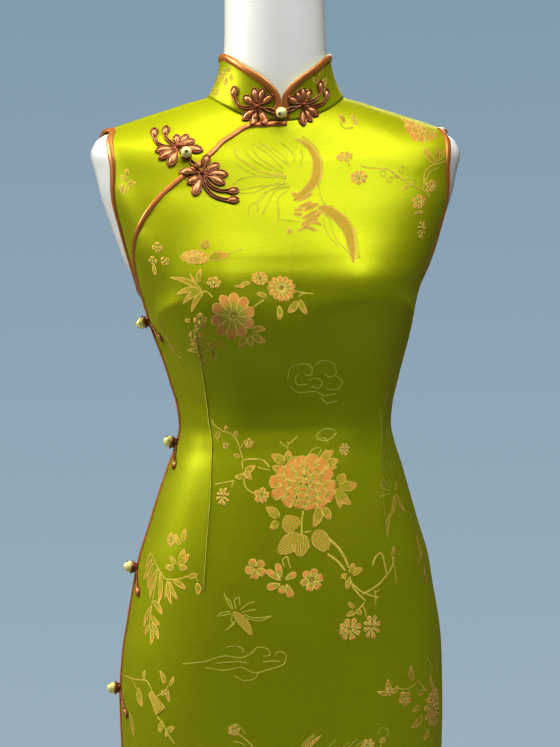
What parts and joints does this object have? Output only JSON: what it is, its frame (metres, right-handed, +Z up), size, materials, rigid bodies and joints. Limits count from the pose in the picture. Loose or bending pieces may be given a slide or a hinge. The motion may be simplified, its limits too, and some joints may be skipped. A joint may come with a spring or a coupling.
{
  "type": "cheongsam dress on dress form",
  "caption": "Sleeveless fitted cheongsam with stand collar, curved side-fastening front and hem slits, on a limbless dress form with pole and round foot.",
  "frame": {"origin": "centre of the round foot's underside, on the floor", "axes": "+Z up, front of the dress towards -Y, wearer's left towards +X"},
  "size_m": [0.41, 0.41, 1.5031],
  "materials": {
    "lime_satin": "glossy lime green silk brocade",
    "copper_satin": "copper brown satin bias binding and cord",
    "jade_bead": "polished pale yellow green bead",
    "form_white": "smooth white shell",
    "brushed_steel": "brushed"
  },
  "bodies": {
    "root": {"armhole_piping_left": "copper_satin", "armhole_piping_right": "copper_satin", "back_panel": "lime_satin", "chest_bead": "jade_bead", "chest_bead_loop": "copper_satin", "chest_flower_lower": "copper_satin", "chest_flower_upper": "copper_satin", "chest_tendril_lower": "copper_satin", "chest_tendril_upper": "copper_satin", "collar": "lime_satin", "collar_bead": "jade_bead", "collar_bead_loop": "copper_satin", "collar_flower_left": "copper_satin", "collar_flower_right": "copper_satin", "collar_piping": "copper_satin", "collar_tendril_left": "copper_satin", "collar_tendril_right": "copper_satin", "dress_form": "form_white", "front_panel": "lime_satin", "opening_piping": "copper_satin", "right_front_piece": "lime_satin", "side_bead_1": "jade_bead", "side_bead_1_loop": "copper_satin", "side_bead_2": "jade_bead", "side_bead_2_loop": "copper_satin", "side_bead_3": "jade_bead", "side_bead_3_loop": "copper_satin", "side_bead_4": "jade_bead", "side_bead_4_loop": "copper_satin", "side_strap_back_1": "copper_satin", "side_strap_back_2": "copper_satin", "side_strap_back_3": "copper_satin", "side_strap_back_4": "copper_satin", "side_strap_front_1": "copper_satin", "side_strap_front_2": "copper_satin", "side_strap_front_3": "copper_satin", "side_strap_front_4": "copper_satin", "stand_foot": "brushed_steel", "stand_pole": "brushed_steel"}
  },
  "joints": []
}
